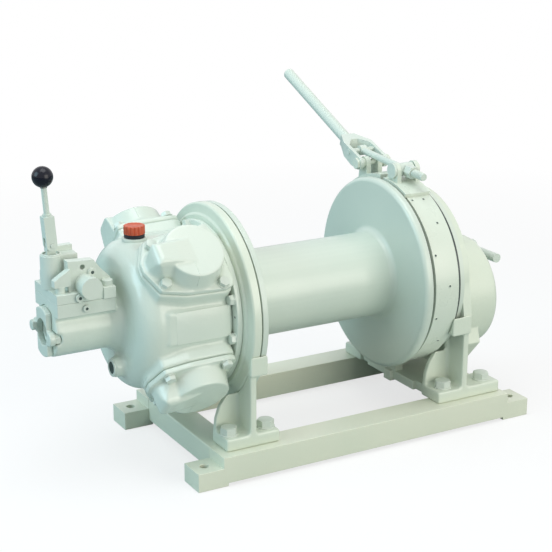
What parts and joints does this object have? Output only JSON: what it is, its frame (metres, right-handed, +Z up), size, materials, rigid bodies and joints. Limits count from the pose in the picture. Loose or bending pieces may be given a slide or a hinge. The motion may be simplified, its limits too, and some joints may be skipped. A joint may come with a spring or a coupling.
{
  "type": "air winch",
  "caption": "Air driven deck winch: radial piston motor with lever valve, plain rope drum, hand lever band brake and outboard case on a bolted rail frame.",
  "frame": {"origin": "centre of the four foundation bolt holes, on the underside plane of the foot pads", "axes": "+X along the drum shaft from the motor to the brake, +Y from the front rail to the rear rail, +Z up"},
  "size_m": [1.0383, 0.6699, 0.682],
  "materials": {
    "frame_paint": "gloss enamel over welded steel",
    "casting_paint": "gloss enamel over cast iron",
    "motor_paint": "gloss enamel over cast housing",
    "valve_paint": "gloss enamel over cast valve",
    "drum_paint": "gloss enamel over turned steel",
    "band_paint": "gloss enamel over rolled steel strip",
    "lever_paint": "gloss enamel over steel bar",
    "fastener_paint": "overpainted steel fasteners",
    "cap_plastic": "moulded orange plastic",
    "knob_plastic": "polished black phenolic"
  },
  "bodies": {
    "base": {"rail_front": "frame_paint", "rail_rear": "frame_paint", "cross_beam_motor": "frame_paint", "cross_beam_brake": "frame_paint", "motor_ring": "casting_paint", "motor_leg_front": "casting_paint", "motor_leg_rear": "casting_paint", "end_plate": "casting_paint", "brake_leg_front": "casting_paint", "brake_leg_rear": "casting_paint", "tie_beam": "casting_paint", "stand_bolts": "fastener_paint", "motor_flange": "motor_paint", "motor_housing": "motor_paint", "head_front_top": "motor_paint", "head_front_low": "motor_paint", "head_rear_top": "motor_paint", "head_rear_low": "motor_paint", "filler_boss": "motor_paint", "filler_cap": "cap_plastic", "air_duct": "valve_paint", "inlet_flange": "valve_paint", "valve_body": "valve_paint", "spool_housing": "valve_paint", "valve_front_plate": "valve_paint", "lever_clevis": "valve_paint", "brake_band": "band_paint", "band_bracket_rear": "band_paint", "band_bracket_front": "band_paint", "outboard_case": "casting_paint", "clutch_hub": "casting_paint"},
    "drum": {"drum_barrel": "drum_paint", "drum_left_flange": "drum_paint", "drum_right_flange": "drum_paint", "brake_drum": "drum_paint"},
    "control_lever": {"control_lever": "lever_paint", "ball_knob": "knob_plastic"},
    "brake_lever": {"brake_fork": "lever_paint", "brake_bar": "lever_paint"},
    "adjusting_rod": {"adjusting_rod": "lever_paint", "rod_nut": "fastener_paint"},
    "trunnion": {"trunnion": "lever_paint"},
    "clutch_lever": {"clutch_lever": "lever_paint"}
  },
  "joints": [
    {"name": "drum_turn", "type": "hinge", "parent": "base", "child": "drum", "pos_m": [0, 0, 0.309], "axis": [1, 0, 0], "continuous": true},
    {"name": "valve_lever", "type": "hinge", "parent": "base", "child": "control_lever", "pos_m": [-0.597, 0, 0.471], "axis": [0, 1, 0], "range_deg": [-18, 18], "stiffness_Nm_per_rad": 4},
    {"name": "brake_lever_lift", "type": "hinge", "parent": "base", "child": "brake_lever", "pos_m": [0.18, 0.097, 0.527], "axis": [1, 0, 0], "range_deg": [0, 22]},
    {"name": "rod_swing", "type": "hinge", "parent": "brake_lever", "child": "adjusting_rod", "pos_m": [0.18, 0.134, 0.5455], "axis": [1, 0, 0], "range_deg": [-17.2, 0]},
    {"name": "trunnion_swivel", "type": "hinge", "parent": "base", "child": "trunnion", "pos_m": [0.18, -0.03, 0.5355], "axis": [1, 0, 0], "range_deg": [0, 4.9]},
    {"name": "clutch_lever_swing", "type": "hinge", "parent": "base", "child": "clutch_lever", "pos_m": [0.382, 0.02, 0.322], "axis": [1, 0, 0], "range_deg": [-20, 20]}
  ],
  "couplings": [
    {"joint": "rod_swing", "follows": "brake_lever_lift", "ratio": -0.779},
    {"joint": "trunnion_swivel", "follows": "brake_lever_lift", "ratio": 0.221}
  ]
}
